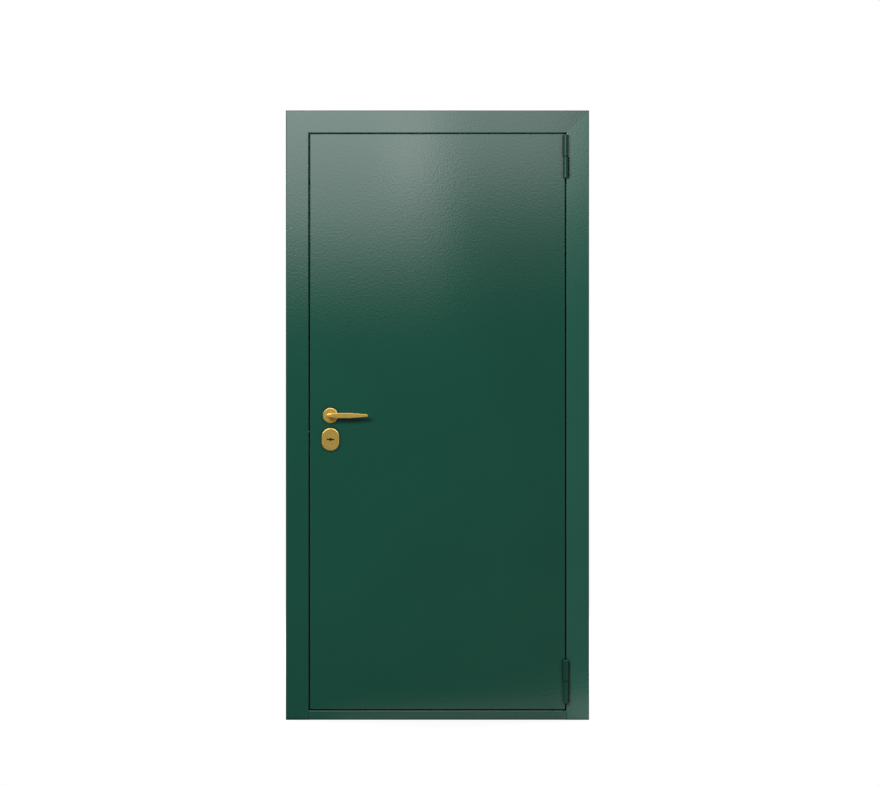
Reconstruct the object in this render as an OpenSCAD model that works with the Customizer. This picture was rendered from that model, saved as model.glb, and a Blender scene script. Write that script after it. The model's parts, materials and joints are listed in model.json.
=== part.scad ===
// Steel entrance door set: a flush outward-opening leaf in a folded steel frame with its casing,
// lift-off barrel hinges, a lever handle on a round rose and a keyed mortise lock.
// Millimetres. +X to the hinge side, +Y into the wall, +Z up.
// The origin is the middle of the sill's underside, on the plane of the wall face.

/* [Frame] */
// Width over the casing
overall_w = 1040; // [900:10:1200]
// Height from the floor to the top of the casing
overall_h = 2090; // [1900:10:2300]
// Visible width of the casing on the jambs and the head
face_w = 78.5; // [66:0.5:100]
// How far the casing laps over the wall
casing_lap = 40; // [25:1:46]
// How far the casing stands off the wall
casing_d = 15; // [10:1:25]
// Depth of the frame inside the wall opening
frame_d = 90; // [76:1:130]
// Thickness of the frame's sheet steel
frame_t = 2; // [1.5:0.1:2.5]
// Width of the stop behind the leaf
stop_w = 20; // [16:1:26]
// Height of the sill's front face
sill_h = 32; // [24:1:50]
// Inside radius of the folds
fold_r = 1; // [0.5:0.1:2]
// Diameter of the wall anchor holes
anchor_hole_d = 13; // [10:0.5:16]
// Diameter of the access holes for the anchor heads
anchor_access_d = 20; // [18:0.5:24]
// From the floor to the lowest anchors
anchor_bottom = 250; // [150:10:350]
// From the top of the casing down to the highest anchors
anchor_top = 240; // [150:10:350]
// Between the outer and the inner anchors of a jamb
anchor_step = 500; // [300:10:550]

/* [Leaf] */
// Thickness of the leaf
leaf_d = 60; // [54:1:64]
// Gap between the leaf and the jambs, and over the sill
leaf_gap = 4; // [3.5:0.5:6]
// Gap between the leaf and the head
head_gap = 2.5; // [2.5:0.5:6]
// Thickness of the leaf's sheet steel
skin_t = 1.5; // [1:0.1:2]
// Space between the leaf and the stop, which the seal fills
seal_space = 5; // [4.5:0.5:7]
// Width of the flanges on the stiffening ribs
rib_flange = 25; // [15:1:40]
// Depth of the flange folded round the inner skin
inner_flange = 15; // [10:1:20]
// Diameter of the anti-lift pins on the hinge edge
dog_d = 14; // [10:1:16]
// How far the anti-lift pins stand out of the leaf
dog_l = 16; // [12:1:20]
// From the floor to the lowest anti-lift pin
dog_bottom = 500; // [300:10:700]
// From the top of the casing down to the highest anti-lift pin
dog_top = 490; // [300:10:700]

/* [Hinges] */
// Diameter of the hinge barrel
barrel_d = 19; // [17:0.5:24]
// Length of a hinge
hinge_l = 148; // [120:1:180]
// Diameter of the hinge pin
hinge_pin_d = 10; // [8:0.5:12]
// Thickness of the thrust washer between the knuckles
washer_t = 3; // [2:0.5:4]
// From the top of the leaf to the top of the upper hinge
hinge_top_inset = 4; // [0:1:100]
// From the bottom of the leaf to the bottom of the lower hinge
hinge_bottom_inset = 22; // [0:1:100]

/* [Lock] */
// Height of the handle's axis above the floor
handle_z = 1043.5; // [950:0.5:1150]
// From the handle's axis down to the keyhole
key_drop = 82; // [80:1:95]
// From the leaf's edge to the handle's axis
backset = 71; // [68:1:80]
// Depth of the lock case behind its faceplate
case_l = 110; // [106:1:130]
// Thickness of the lock case
case_d = 26; // [24:1:30]
// Width of the faceplate
plate_w = 24; // [22:1:26]
// Length of the faceplate and of the strike plate
plate_l = 240; // [216:1:280]
// How far the faceplate runs past the lock case at each end
plate_lap = 20; // [16:1:26]
// Thickness of the faceplate
plate_t = 3; // [2:0.5:4]
// How far the latch bolt stands out
latch_throw = 12; // [10:0.5:13]
// Angle through which the lever turns
lever_turn = 40; // [30:1:45]
// Diameter of the dead bolts
bolt_d = 16; // [12:1:18]
// Spacing of the dead bolts
bolt_pitch = 30; // [26:1:32]
// Travel of the dead bolts
bolt_throw = 25; // [18:1:28]

/* [Handle] */
// Diameter of the rose
rose_d = 52; // [46:1:60]
// Thickness of the rose
rose_t = 9; // [7:0.5:12]
// From the handle's axis to the tip of the lever
lever_reach = 129; // [110:1:150]
// From the handle's axis to the round butt of the lever
lever_butt = 13; // [10:0.5:15]
// Greatest height of the lever
lever_h = 16.7; // [14:0.1:22]
// Height of the lever at its neck
lever_neck_h = 13.5; // [12:0.1:16]
// Thickness of the lever, front to back
lever_t = 11; // [8:0.5:14]
// How far the lever's front stands off the leaf
lever_out = 58; // [50:1:70]
// Width of the square spindle
spindle_w = 8; // [7:0.5:9]

/* [Escutcheon] */
// Width of the keyhole escutcheon
esc_w = 60; // [56:1:70]
// Length of the keyhole escutcheon
esc_l = 78; // [76:1:95]
// Thickness of the outside escutcheon
esc_t = 9; // [8:0.5:14]
// Thickness of the inside escutcheon
inner_esc_t = 5; // [4:0.5:8]
// Width of the keyhole over both bits
key_w = 27; // [22:0.5:28]
// Diameter of the keyhole's round middle
key_d = 9.5; // [7:0.5:10]
// Height of the keyhole's slots
key_slot = 4.4; // [3:0.1:5]
// Diameter of the turning shutter that holds the keyhole
shutter_d = 33; // [31:0.5:36]
// Diameter of the swinging cover over the inside keyhole
cover_d = 30; // [29:0.5:34]

/* [Hidden] */
$fn = 64;

// Clearances: a running fit, a sliding fit, a loose fit and the room that a cut leaves past a face
run_fit = 0.05;
slide_fit = 0.3;
loose_fit = 0.5;
past = 1;

// Planes along Y
y_face = -casing_d;
y_leaf_back = y_face + leaf_d;
y_stop = y_leaf_back + seal_space;
y_lock = y_face + leaf_d / 2;

// The leaf's edges
leaf_x0 = -overall_w / 2 + face_w + leaf_gap;
leaf_x1 = -leaf_x0;
leaf_z0 = sill_h + leaf_gap;
leaf_z1 = overall_h - face_w - head_gap;
leaf_w = leaf_x1 - leaf_x0;
leaf_h = leaf_z1 - leaf_z0;
reveal_x = leaf_x0 - leaf_gap;

// The hinge axis lies in front of the gap, with the barrel just clear of the faces
hinge_x = leaf_x1 + leaf_gap / 2;
barrel_clear = 0.5;
hinge_y = y_face - barrel_d / 2 - barrel_clear;
heel_out = 3;
hinge_top_z = leaf_z1 - hinge_top_inset - hinge_l;
hinge_bottom_z = leaf_z0 + hinge_bottom_inset;
knuckle_l = (hinge_l - washer_t) / 2;

// The handle's and the key's axes
handle_x = leaf_x0 + backset;
key_z = handle_z - key_drop;

// The lock case
case_t = 1.5;
case_x0 = leaf_x0 + plate_t;
case_x1 = case_x0 + case_l;
case_y0 = y_lock - case_d / 2;
case_y1 = y_lock + case_d / 2;

// The latch and the follower that draws it back
latch_h = 22;
latch_d = 12;
latch_tip = 2;
latch_guide = 18;
tail_d = 6;
tail_bar = 8;
hub_r = 11;
draw_margin = 1.04;
arm_r = latch_throw / (lever_turn * PI / 180) * draw_margin;
arm_w = 6;
lug_x = handle_x + arm_w / 2 + slide_fit;
lug_w = 10;
bar_end = lug_x + lug_w;
journal_step = 2;
tail_top = handle_z + arm_r + arm_w / 2 + tail_bar;
riser_x = handle_x - hub_r - latch_throw - tail_bar - 5 * loose_fit;

// The dead bolts, the carriage that throws them and the cassette of levers round the key
carriage_d = 6;
carriage_bar = 12;
carriage_half = bolt_pitch + bolt_d / 2;
carriage_guide = 14;
cassette_rim = 2.5;
cassette_h = key_w + 2 * cassette_rim;
esc_bolt_d = 5;
esc_bolt_z = 24;
bolt_floor = 3;
arm_gap = esc_bolt_z + esc_bolt_d / 2 + 3 * loose_fit;
cassette_l = 45;
cassette_wall = 18;
cassette_x0 = handle_x - cassette_wall;
carriage_x0 = cassette_x0 - 2 * loose_fit - carriage_bar;

// The lock case and the plates are centred on what moves in the case
lock_z = (tail_top + key_z - carriage_half) / 2;
case_h = plate_l - 2 * plate_lap;
case_z0 = lock_z - case_h / 2;
plate_z0 = lock_z - plate_l / 2;
tab_reach = plate_lap - 4 * loose_fit;
screw_inset = tab_reach / 2;

// The lever's parts
journal_d = 18;
neck_step = 1.5;
neck_d = lever_neck_h - neck_step;
neck_taper = 10;
collar = 4;
base_t = 5;
base_room = 3;
butt_round = 7;
tip_round = 6;
tip_set_back = 5;
lever_y = lever_out - lever_t / 2;

// Fasteners
screw_d = 4;
screw_grip = 5;
anchor_y = y_lock + leaf_d / 4;
anchor_zs = [
    anchor_bottom, anchor_bottom + anchor_step,
    overall_h - anchor_top - anchor_step, overall_h - anchor_top,
];
dog_zs = [dog_bottom, handle_z, overall_h - dog_top];
dog_room = 3.5;

green = [0.10, 0.29, 0.235];
gold = [0.76, 0.58, 0.27];
steel = [0.62, 0.63, 0.64];
zinc = [0.72, 0.70, 0.62];
black = [0.06, 0.06, 0.06];
wool = [0.75, 0.68, 0.42];

// Basic shapes

// A sheet of thickness t folded along a path of its centre line, with inside radius r at each fold
module folded_sheet(path, t, r) {
    n = len(path);
    mid_r = r + t / 2;
    function unit(v) = v / norm(v);
    for (i = [0 : n - 2]) {
        step = path[i + 1] - path[i];
        start = i > 0 ? mid_r : 0;
        end = i < n - 2 ? mid_r : 0;
        translate(path[i]) rotate(atan2(step.y, step.x)) translate([start, -t / 2])
            square([norm(step) - start - end, t]);
    }
    for (i = [1 : n - 2]) {
        into = unit(path[i] - path[i - 1]);
        away = unit(path[i + 1] - path[i]);
        centre = path[i] + mid_r * (away - into);
        reach = r + t;
        intersection() {
            translate(centre) difference() {
                circle(r + t);
                circle(r);
            }
            polygon([
                centre,
                centre + into * reach,
                centre + (into - away) * reach,
                centre - away * reach,
            ]);
        }
    }
}

// A rectangle w by d whose two corners on the front edge, y = 0, are rounded
module front_rounded(w, d, r) {
    translate([r, 0]) square([w - 2 * r, d]);
    translate([0, r]) square([w, d - r]);
    for (x = [r, w - r]) translate([x, r]) circle(r);
}

// A block w by d by h whose four front edges are rounded
module front_rounded_block(w, d, h, r) {
    intersection() {
        linear_extrude(h) front_rounded(w, d, r);
        translate([0, 0, h]) rotate([0, 90, 0]) linear_extrude(w) front_rounded(h, d, r);
    }
}

// A tray of sheet steel, open at the back
module tray(w, d, h, t, r) {
    difference() {
        front_rounded_block(w, d, h, r + t);
        translate([t, t, t]) front_rounded_block(w - 2 * t, d, h - 2 * t, r);
    }
}

// A cylinder along Y from y0 to y1
module rod_y(d, y0, y1) {
    translate([0, y0, 0]) rotate([-90, 0, 0]) cylinder(d = d, h = y1 - y0);
}

// A cylinder along X from x0 to x1
module rod_x(d, x0, x1) {
    translate([x0, 0, 0]) rotate([0, 90, 0]) cylinder(d = d, h = x1 - x0);
}

// A box between two corners
module box(low, high) {
    translate(low) cube(high - low);
}

// A countersunk screw along +Z, with its head flush with z = 0
module countersunk(d, length) {
    cylinder(d1 = 2 * d, d2 = d, h = d / 2);
    cylinder(d = d, h = length);
}

module countersunk_x(d, length) {
    rotate([0, 90, 0]) countersunk(d, length);
}

module countersunk_y(d, length) {
    rotate([-90, 0, 0]) countersunk(d, length);
}

// Places what follows at the handle's axis or at the key's axis, at y = 0
module at_handle() {
    translate([handle_x, 0, handle_z]) children();
}

module at_key() {
    translate([handle_x, 0, key_z]) children();
}

module escutcheon_bolt_places() {
    for (s = [-1, 1]) translate([0, 0, s * esc_bolt_z]) children();
}

// The outline of a keyhole for a key with two bits, its slots along the first axis
module keyhole_outline() {
    circle(d = key_d);
    square([key_w, key_slot], center = true);
}

// A keyhole cut along Y from y0 to y1, upright or lying
module keyhole_cut(y0, y1, upright) {
    translate([0, y0, 0]) rotate([-90, 0, 0]) rotate(upright ? 90 : 0)
        linear_extrude(y1 - y0) keyhole_outline();
}

// The frame

// Section of the jambs and the head: u runs from the casing's outer edge inwards, v into the wall
module frame_section() {
    h = frame_t / 2;
    folded_sheet([
        [h, 0],
        [h, y_face + h],
        [face_w - h, y_face + h],
        [face_w - h, y_stop + h],
        [face_w + stop_w - h, y_stop + h],
        [face_w + stop_w - h, frame_d - h],
        [casing_lap + h, frame_d - h],
        [casing_lap + h, y_face + frame_t],
    ], frame_t, fold_r);
}

// A wedge with its sloping face on the mitre of the left top corner, outside or inside the head
module mitre_wedge(head_side) {
    k = face_w + stop_w + past;
    x = -overall_w / 2;
    h = overall_h;
    side = head_side ? [x + k, h + past] : [x - past, h - k];
    translate([0, frame_d + past, 0]) rotate([90, 0, 0])
        linear_extrude(frame_d - y_face + 2 * past)
            polygon([[x - past, h + past], side, [x + k, h - k]]);
}

// The left jamb before its holes are cut
module plain_jamb() {
    difference() {
        translate([-overall_w / 2, 0, 0]) linear_extrude(overall_h) frame_section();
        mitre_wedge(true);
    }
}

// Anchor holes through the wall side of a left jamb, and access holes through its reveal
module anchor_cuts() {
    for (z = anchor_zs) translate([0, anchor_y, z]) {
        rod_x(anchor_hole_d, reveal_x - face_w, reveal_x - face_w / 4);
        rod_x(anchor_access_d, reveal_x - face_w / 4, reveal_x + past);
    }
}

module lock_jamb() {
    color(green) difference() {
        plain_jamb();
        anchor_cuts();
        plate_window(reveal_x - frame_t - past, reveal_x + past);
    }
}

module hinge_jamb() {
    color(green) difference() {
        mirror([1, 0, 0]) difference() {
            plain_jamb();
            anchor_cuts();
        }
        for (z = dog_zs) translate([0, y_lock, z])
            rod_x(dog_d + 2 * dog_room, leaf_x1, leaf_x1 + leaf_gap + frame_t + past);
    }
}

module head_rail() {
    color(green) difference() {
        translate([-overall_w / 2, 0, overall_h]) rotate([0, 90, 0])
            linear_extrude(overall_w) frame_section();
        mitre_wedge(false);
        mirror([1, 0, 0]) mitre_wedge(false);
    }
}

// The sill is a closed box between the reveals of the jambs, with a stop behind the leaf, notched at
// its ends for the stops of the jambs
module sill() {
    h = frame_t / 2;
    seam = (y_face + y_stop) / 2;
    color(green) difference() {
        translate([reveal_x, 0, 0]) rotate([90, 0, 90]) linear_extrude(-2 * reveal_x)
            folded_sheet([
                [seam, h],
                [y_face + h, h],
                [y_face + h, sill_h - h],
                [y_stop + h, sill_h - h],
                [y_stop + h, sill_h + stop_w - h],
                [frame_d - h, sill_h + stop_w - h],
                [frame_d - h, h],
                [seam, h],
            ], frame_t, fold_r);
        for (s = [0, 1]) mirror([s, 0, 0])
            box([reveal_x - past, y_stop - fold_r, -past],
                [reveal_x + stop_w, frame_d + past, sill_h + stop_w + past]);
    }
}

// Section of the seal: a base strip with a round bulb that the leaf presses on, v towards the leaf
module seal_section() {
    bulb_share = 0.62;
    bulb_r = (seal_space - slide_fit) * bulb_share;
    strip_t = seal_space - slide_fit - bulb_r;
    translate([-stop_w / 4, 0]) square([stop_w / 2, strip_t]);
    intersection() {
        translate([0, strip_t]) circle(bulb_r);
        translate([-bulb_r, 0]) square([2 * bulb_r, seal_space]);
    }
}

// One gasket round the stop: two uprights, with a strip across the top and one across the bottom
module frame_seal() {
    half = stop_w / 4;
    x = overall_w / 2 - face_w - stop_w / 2;
    bottom_z = sill_h + stop_w / 2;
    top_z = overall_h - face_w - stop_w / 2;
    color(black) {
        for (s = [-1, 1]) translate([s * x, y_stop, bottom_z - half]) rotate(180)
            linear_extrude(top_z - bottom_z + 2 * half) seal_section();
        for (z = [bottom_z, top_z]) translate([-x, y_stop, z]) rotate([0, 90, 0]) rotate(180)
            linear_extrude(2 * x) seal_section();
    }
}

// Plastic caps over the access holes of the anchors
module anchor_caps() {
    flange = 1;
    flange_lap = 2;
    plug = 3 * frame_t;
    color(green) for (s = [-1, 1], z = anchor_zs) translate([0, anchor_y, z])
        mirror([s > 0 ? 1 : 0, 0, 0]) {
            rod_x(anchor_access_d + 2 * flange_lap, reveal_x, reveal_x + flange);
            rod_x(anchor_access_d - 2 * run_fit, reveal_x - plug, reveal_x);
        }
}

// The window that the strike plate fills in the reveal, or the faceplate in the leaf's edge
module plate_window(x0, x1) {
    room = slide_fit / 2;
    box([x0, y_lock - plate_w / 2 - room, plate_z0 - room],
        [x1, y_lock + plate_w / 2 + room, plate_z0 + plate_l + room]);
}

// Holes for the latch and the dead bolts, along X from x0 to x1
module bolt_cuts(x0, x1, room) {
    box([x0, y_lock - latch_d / 2 - room, handle_z - latch_h / 2 - room],
        [x1, y_lock + latch_d / 2 + room, handle_z + latch_h / 2 + room]);
    for (i = [-1 : 1]) translate([0, y_lock, key_z + i * bolt_pitch])
        rod_x(bolt_d + 2 * room, x0, x1);
}

strike_room = 1.5;
backing_t = 3;
backing_lap = 6;

module strike_plate() {
    color(steel) difference() {
        box([reveal_x - frame_t, y_lock - plate_w / 2, plate_z0],
            [reveal_x, y_lock + plate_w / 2, plate_z0 + plate_l]);
        bolt_cuts(reveal_x - frame_t - past, reveal_x + past, strike_room);
        strike_screw_places() countersunk_x(screw_d, frame_t + past);
    }
}

// Welded behind the window, it carries the strike plate and is drilled for its screws
module strike_backing() {
    x1 = reveal_x - frame_t;
    color(steel) difference() {
        box([x1 - backing_t, y_lock - plate_w / 2 - backing_lap, plate_z0 - backing_lap],
            [x1, y_lock + plate_w / 2 + backing_lap, plate_z0 + plate_l + backing_lap]);
        bolt_cuts(x1 - backing_t - past, x1 + past, strike_room);
        strike_screw_places() countersunk_x(screw_d, frame_t + backing_t + past);
    }
}

module strike_screw_places() {
    for (z = [plate_z0 + screw_inset, plate_z0 + plate_l - screw_inset])
        translate([reveal_x, y_lock, z]) mirror([1, 0, 0]) children();
}

module strike_screws() {
    color(zinc) strike_screw_places()
        countersunk_x(screw_d, frame_t + backing_t + screw_grip);
}

// The hinges

// A knuckle from z = 0 to l: a barrel with a heel that stands on the face at side s
module knuckle(l, s) {
    r = barrel_d / 2;
    chamfer = 1.5;
    rotate_extrude() polygon([
        [0, 0], [r - chamfer / 3, 0], [r, chamfer / 3], [r, l - chamfer], [r - chamfer, l], [0, l],
    ]);
    linear_extrude(l - chamfer) polygon([
        [0, 0], [s * r, 0], [s * (r + heel_out), r + barrel_clear], [s * leaf_gap / 2, r + barrel_clear],
        [0, r],
    ]);
}

// Puts what follows at a hinge's foot, on its axis
module at_hinge(z) {
    translate([hinge_x, hinge_y, z]) children();
}

pin_cover_top = 8;
pin_cover_bottom = 6;
pin_top = knuckle_l - pin_cover_top;
pin_bottom = knuckle_l - pin_cover_bottom;
pin_point = 2;

module leaf_knuckle(z) {
    color(green) at_hinge(z + knuckle_l + washer_t) difference() {
        knuckle(knuckle_l, -1);
        translate([0, 0, -past]) cylinder(d = hinge_pin_d + 2 * run_fit, h = pin_top + loose_fit + past);
    }
}

module frame_knuckle(z) {
    color(green) at_hinge(z) difference() {
        translate([0, 0, knuckle_l]) mirror([0, 0, 1]) knuckle(knuckle_l, 1);
        translate([0, 0, knuckle_l - pin_bottom]) cylinder(d = hinge_pin_d, h = pin_bottom + past);
    }
}

module hinge_pin(z) {
    color(steel) at_hinge(z + knuckle_l) {
        translate([0, 0, -pin_bottom])
            cylinder(d = hinge_pin_d, h = pin_bottom + washer_t + pin_top - pin_point);
        translate([0, 0, washer_t + pin_top - pin_point])
            cylinder(d1 = hinge_pin_d, d2 = hinge_pin_d - 2 * pin_point, h = pin_point);
    }
}

module hinge_washer(z) {
    color(black) at_hinge(z + knuckle_l) difference() {
        cylinder(d = barrel_d - 2 * loose_fit, h = washer_t - run_fit);
        translate([0, 0, -past]) cylinder(d = hinge_pin_d + 2 * run_fit, h = washer_t + 2 * past);
    }
}

module hinge_frame_knuckle_top() { frame_knuckle(hinge_top_z); }
module hinge_frame_knuckle_bottom() { frame_knuckle(hinge_bottom_z); }
module hinge_leaf_knuckle_top() { leaf_knuckle(hinge_top_z); }
module hinge_leaf_knuckle_bottom() { leaf_knuckle(hinge_bottom_z); }
module hinge_pin_top() { hinge_pin(hinge_top_z); }
module hinge_pin_bottom() { hinge_pin(hinge_bottom_z); }
module hinge_washer_top() { hinge_washer(hinge_top_z); }
module hinge_washer_bottom() { hinge_washer(hinge_bottom_z); }

// The leaf

handle_hole_room = 3;
handle_hole_d = journal_d + 2 * handle_hole_room;
key_hole_room = 2;
key_hole_d = key_w + 2 * key_hole_room;

// Holes for the spindle, the key and the fixings through a skin, from y0 to y1
module skin_holes(y0, y1) {
    at_handle() rod_y(handle_hole_d, y0, y1);
    at_handle() rose_screw_places() rod_y(screw_d, y0, y1);
    at_key() rod_y(key_hole_d, y0, y1);
    at_key() escutcheon_bolt_places() rod_y(esc_bolt_d + 2 * loose_fit, y0, y1);
}

module outer_skin() {
    color(green) difference() {
        translate([leaf_x0, y_face, leaf_z0]) tray(leaf_w, leaf_d, leaf_h, skin_t, fold_r);
        skin_holes(y_face - past, y_face + skin_t + past);
        plate_window(leaf_x0 - past, leaf_x0 + skin_t + past);
        for (z = dog_zs) translate([0, y_lock, z]) rod_x(dog_d, leaf_x1 - skin_t - past, leaf_x1 + past);
    }
}

// The inner skin is a shallow tray that slips into the back of the outer one
module inner_skin() {
    inset = skin_t + slide_fit / 2;
    color(green) difference() {
        translate([leaf_x0 + inset, y_leaf_back, leaf_z0 + inset]) mirror([0, 1, 0])
            tray(leaf_w - 2 * inset, inner_flange, leaf_h - 2 * inset, skin_t, fold_r);
        skin_holes(y_leaf_back - skin_t - past, y_leaf_back + past);
    }
}

rib_inset = 2 * skin_t + slide_fit + past;
rib_count = 3;
lock_room = 12;
rib_room = 10;
rib_x0 = case_x1 + lock_room + rib_room;
rib_pitch = (leaf_x1 - rib_x0) / rib_count;
wool_inset = inner_flange + 2 * skin_t;

module stiffener_ribs() {
    h = skin_t / 2;
    y0 = y_face + skin_t + h;
    y1 = y_leaf_back - skin_t - h;
    color(steel) for (i = [0 : rib_count - 1])
        translate([rib_x0 + i * rib_pitch, 0, leaf_z0 + rib_inset])
            linear_extrude(leaf_h - 2 * rib_inset)
                folded_sheet([[rib_flange, y0], [h, y0], [h, y1], [rib_flange, y1]], skin_t, fold_r);
}

// A slab of mineral wool in each bay between the ribs' flanges, cut away round the lock
module insulation() {
    y0 = y_face + 2 * skin_t;
    y1 = y_leaf_back - 2 * skin_t;
    edges = [
        [leaf_x0 + wool_inset, rib_x0],
        for (i = [0 : rib_count - 1])
            [rib_x0 + i * rib_pitch + skin_t,
             i < rib_count - 1 ? rib_x0 + (i + 1) * rib_pitch : leaf_x1 - wool_inset],
    ];
    color(wool) difference() {
        for (e = edges) box([e[0] + fold_r, y0, leaf_z0 + wool_inset],
                            [e[1] - run_fit, y1, leaf_z1 - wool_inset]);
        box([leaf_x0, y0 - past, plate_z0 - lock_room],
            [case_x1 + lock_room, y1 + past, plate_z0 + plate_l + lock_room]);
    }
}

// Pins welded into the hinge edge, which hold the leaf shut if the hinges are cut
module anti_lift_pins() {
    tip = 3;
    shoulder = 4;
    shoulder_lap = 3;
    color(green) for (z = dog_zs) translate([0, y_lock, z]) {
        rod_x(dog_d, leaf_x1 - skin_t, leaf_x1 + dog_l - tip);
        rod_x(dog_d + 2 * shoulder_lap, leaf_x1 - skin_t - shoulder, leaf_x1 - skin_t);
        translate([leaf_x1 + dog_l - tip, 0, 0]) rotate([0, 90, 0])
            cylinder(d1 = dog_d, d2 = dog_d - 2 * tip, h = tip);
    }
}

// The lock

module lock_faceplate() {
    color(gold) difference() {
        box([leaf_x0, y_lock - plate_w / 2, plate_z0],
            [leaf_x0 + plate_t, y_lock + plate_w / 2, plate_z0 + plate_l]);
        bolt_cuts(leaf_x0 - past, leaf_x0 + plate_t + past, slide_fit);
        faceplate_screw_places() countersunk_x(screw_d, plate_t + past);
    }
}

module faceplate_screw_places() {
    for (z = [plate_z0 + screw_inset, plate_z0 + plate_l - screw_inset])
        translate([leaf_x0, y_lock, z]) children();
}

tab_t = 3;

module faceplate_screws() {
    color(zinc) faceplate_screw_places()
        countersunk_x(screw_d, plate_t + tab_t + screw_grip);
}

// Joggled tabs welded inside the edge at each end of the window; the faceplate is screwed to them
module lock_tabs() {
    lap = 14;
    x0 = leaf_x0 + skin_t;
    x1 = leaf_x0 + plate_t;
    color(steel) for (top = [false, true])
        difference() {
            translate([0, y_lock + plate_w / 2, top ? plate_z0 + plate_l : plate_z0])
                mirror([0, 0, top ? 1 : 0]) rotate([90, 0, 0]) linear_extrude(plate_w)
                    polygon([
                        [x0, -lap], [x0, -slide_fit], [x1, -slide_fit],
                        [x1, tab_reach], [x1 + tab_t, tab_reach],
                        [x1 + tab_t, -slide_fit - tab_t], [x0 + tab_t, -slide_fit - tab_t],
                        [x0 + tab_t, -lap],
                    ]);
            faceplate_screw_places() rod_x(screw_d, 0, plate_t + tab_t + past);
        }
}

// Round openings for the follower's journals and keyholes through a plate of the lock
module lock_plate_cuts(y0, y1) {
    at_handle() rod_y(2 * (hub_r - journal_step + run_fit), y0, y1);
    at_key() keyhole_cut(y0, y1, true);
    at_key() escutcheon_bolt_places() rod_y(esc_bolt_d + 2 * loose_fit, y0, y1);
}

// A pan open towards the outside of the door and towards the faceplate
module lock_case() {
    color(zinc) difference() {
        box([case_x0, case_y0 + case_t, case_z0], [case_x1, case_y1, case_z0 + case_h]);
        box([case_x0 - past, case_y0, case_z0 + case_t],
            [case_x1 - case_t, case_y1 - case_t, case_z0 + case_h - case_t]);
        lock_plate_cuts(case_y1 - case_t - past, case_y1 + past);
    }
}

module lock_cover() {
    color(zinc) difference() {
        box([case_x0, case_y0, case_z0], [case_x1, case_y0 + case_t, case_z0 + case_h]);
        lock_plate_cuts(case_y0 - past, case_y0 + case_t + past);
    }
}

// The sealed pack of levers round the keyway, between the arms of the carriage
module lever_cassette() {
    color(gold) difference() {
        box([cassette_x0, case_y0 + case_t, key_z - cassette_h / 2],
            [cassette_x0 + cassette_l, case_y1 - case_t, key_z + cassette_h / 2]);
        at_key() keyhole_cut(case_y0, case_y1, true);
    }
}

armour_t = 3;
armour_inset = 8;

// Hardened plate welded inside the outer skin, in front of the lock
module armour_plate() {
    y0 = y_face + skin_t;
    y1 = y0 + armour_t;
    color(steel) difference() {
        box([case_x0 + armour_inset, y0, case_z0], [case_x1, y1, case_z0 + case_h]);
        skin_holes(y0 - past, y1 + past);
    }
}

// The follower: a hub with a square socket, turning in the case, whose arm draws the latch back
module follower() {
    socket = spindle_w + 2 * run_fit;
    arm_d = tail_d + 4 * loose_fit;
    color(gold) at_handle() difference() {
        union() {
            rod_y(2 * hub_r, case_y0 + case_t + slide_fit, case_y1 - case_t - slide_fit);
            rod_y(2 * (hub_r - journal_step), case_y0, case_y1);
            box([-arm_w / 2, y_lock - arm_d / 2, 0], [arm_w / 2, y_lock + arm_d / 2, arm_r]);
        }
        box([-socket / 2, case_y0 - past, -socket / 2], [socket / 2, case_y1 + past, socket / 2]);
    }
}

// A bevelled bolt with a hooked tail, whose lug the follower's arm pushes
module latch_bolt() {
    head_l = latch_throw + latch_guide;
    x0 = leaf_x0 - latch_throw;
    y0 = y_lock - tail_d / 2;
    y1 = y_lock + tail_d / 2;
    color(black) {
        translate([0, 0, handle_z - latch_h / 2]) linear_extrude(latch_h) polygon([
            [x0, y_lock - latch_d / 2], [x0 + head_l, y_lock - latch_d / 2],
            [x0 + head_l, y_lock + latch_d / 2], [leaf_x0, y_lock + latch_d / 2],
            [x0, y_lock - latch_d / 2 + latch_tip],
        ]);
        box([x0 + head_l, y0, handle_z - tail_bar / 2], [riser_x + tail_bar, y1, handle_z + tail_bar / 2]);
        box([riser_x, y0, handle_z - tail_bar / 2], [riser_x + tail_bar, y1, tail_top]);
        box([riser_x, y0, tail_top - tail_bar], [bar_end, y1, tail_top]);
        box([lug_x, y0, handle_z + hub_r + 3 * loose_fit], [bar_end, y1, tail_top]);
    }
}

spring_coils = 7;
spring_wire = 1.2;
spring_sides = 6;
spring_steps = 14;

// A helical wire along X from x0 to x1
module spring_x(d, wire, x0, x1) {
    n = spring_coils * spring_steps;
    span = x1 - x0 - wire;
    r = (d - wire) / 2;
    points = [
        for (i = [0 : n], k = [0 : spring_sides - 1])
            let (a = i * 360 / spring_steps, b = k * 360 / spring_sides)
                [x0 + wire / 2 + span * i / n + wire / 2 * sin(b),
                 (r + wire / 2 * cos(b)) * cos(a), (r + wire / 2 * cos(b)) * sin(a)],
    ];
    sides = [
        for (i = [0 : n - 1], k = [0 : spring_sides - 1])
            let (j = (k + 1) % spring_sides, p = i * spring_sides, q = p + spring_sides)
                [p + k, q + k, q + j, p + j],
    ];
    ends = [
        [for (k = [0 : spring_sides - 1]) k],
        [for (k = [spring_sides - 1 : -1 : 0]) n * spring_sides + k],
    ];
    polyhedron(points, concat(sides, ends), convexity = 8);
}

module latch_spring() {
    color(steel) translate([0, y_lock, tail_top - tail_bar / 2])
        spring_x(tail_bar, spring_wire, bar_end + run_fit, case_x1 - case_t - run_fit);
}

module dead_bolts() {
    tip = 1.5;
    color(steel) for (i = [-1 : 1]) translate([0, y_lock, key_z + i * bolt_pitch]) {
        rod_x(bolt_d, leaf_x0 + tip, carriage_x0);
        translate([leaf_x0, 0, 0]) rotate([0, 90, 0]) cylinder(d1 = bolt_d - 2 * tip, d2 = bolt_d, h = tip);
    }
}

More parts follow.
